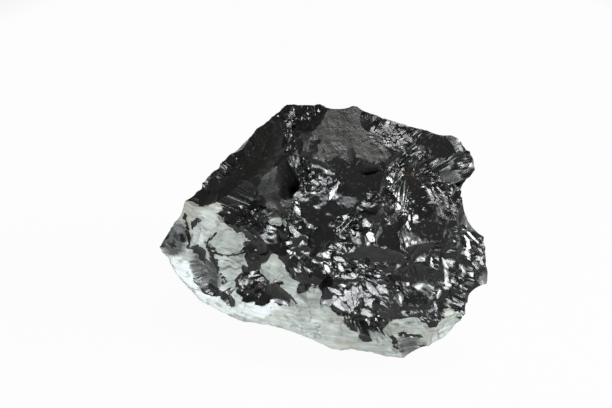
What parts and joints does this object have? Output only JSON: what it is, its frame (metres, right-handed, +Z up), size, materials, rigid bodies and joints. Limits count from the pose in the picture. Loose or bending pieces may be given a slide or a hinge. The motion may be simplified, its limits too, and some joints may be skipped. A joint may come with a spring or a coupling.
{
  "type": "coal lump",
  "caption": "Lump of glossy hard coal with shell-like fracture scars, a dull top and a pale mineral crust; it rests on its flat base.",
  "frame": {"origin": "centre of the bounding box's underside, on the flat base", "axes": "+X along the lump's longest extent, towards its knobbed right end; +Y away from the show side; +Z up"},
  "size_m": [0.0792, 0.0552, 0.059],
  "materials": {
    "coal": "glossy black coal with a dull grey top face and a pale greenish-white mineral crust on the left and the front foot"
  },
  "bodies": {
    "root": {"coal_lump": "coal"}
  },
  "joints": []
}
